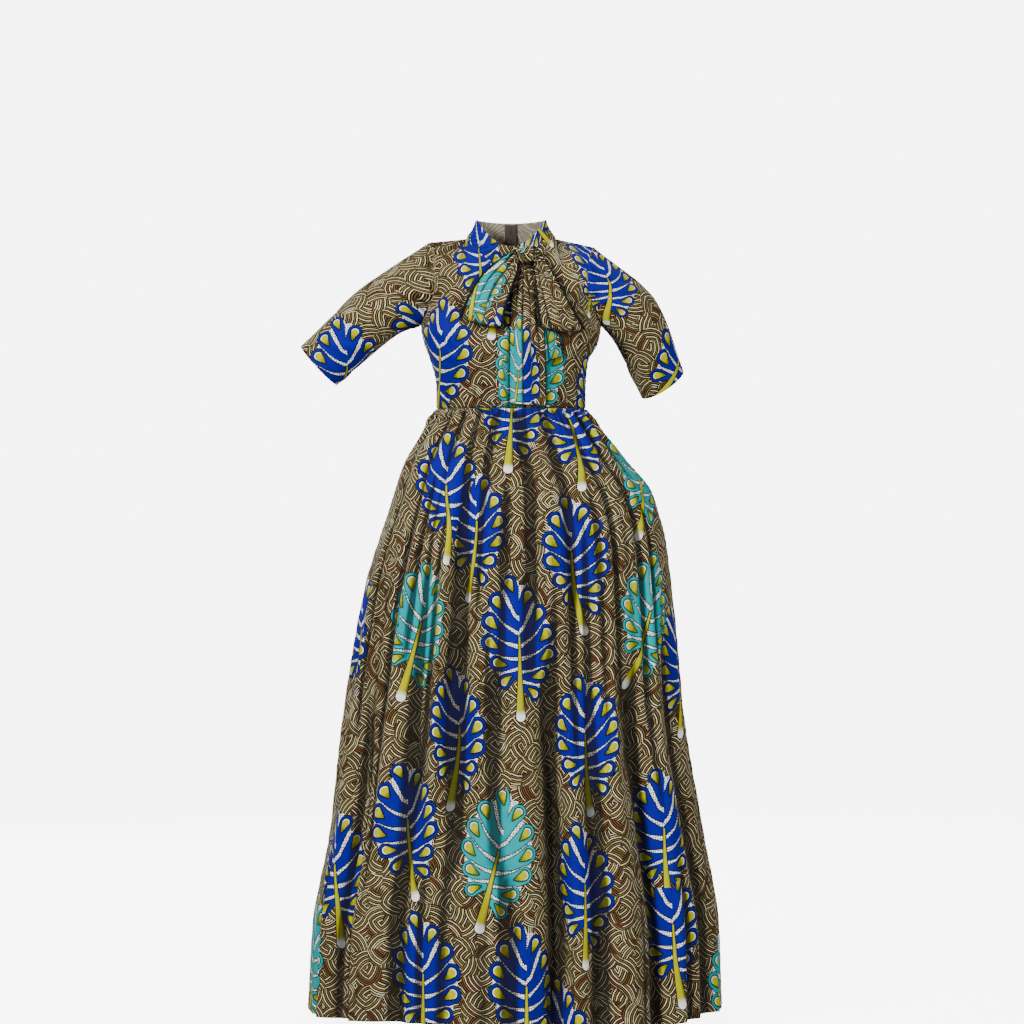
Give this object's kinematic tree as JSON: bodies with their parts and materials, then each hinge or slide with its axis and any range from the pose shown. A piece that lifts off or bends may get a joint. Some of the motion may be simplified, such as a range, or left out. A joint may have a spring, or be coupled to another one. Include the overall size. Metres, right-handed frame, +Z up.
{
  "type": "maxi dress",
  "caption": "Floor-length cotton wax-print maxi dress with a bow at a band collar, elbow-length sleeves, a gathered skirt with side pockets and a zip down the back",
  "frame": {"origin": "midway between the two points where the shoulder seams meet the collar", "axes": "+Z up the dress, -Y to its front, +X to the right as seen from the front"},
  "size_m": [0.8032, 0.6381, 1.505],
  "materials": {
    "print_cloth": "matt cotton with a leaf print",
    "pocket_cloth": "matt cotton, the print's paler inner side",
    "zip_tape": "matt woven tape",
    "zip_metal": "satin black"
  },
  "bodies": {
    "dress": {"bodice_front": "print_cloth", "bodice_back_left": "print_cloth", "bodice_back_right": "print_cloth", "collar": "print_cloth", "sleeve_left": "print_cloth", "sleeve_right": "print_cloth", "bow_knot": "print_cloth", "bow_loop_left": "print_cloth", "bow_loop_right": "print_cloth", "bow_tail_left": "print_cloth", "bow_tail_right": "print_cloth", "skirt_front": "print_cloth", "skirt_back_left": "print_cloth", "skirt_back_right": "print_cloth", "pocket_left": "pocket_cloth", "pocket_right": "pocket_cloth", "zip_tape": "zip_tape", "zip_slider": "zip_metal"},
    "pull": {"zip_pull": "zip_metal"}
  },
  "joints": [
    {"name": "pull_swing", "type": "hinge", "parent": "dress", "child": "pull", "pos_m": [0, 0.06017, 0.026], "axis": [1, 0, 0], "range_deg": [0, 150]}
  ]
}
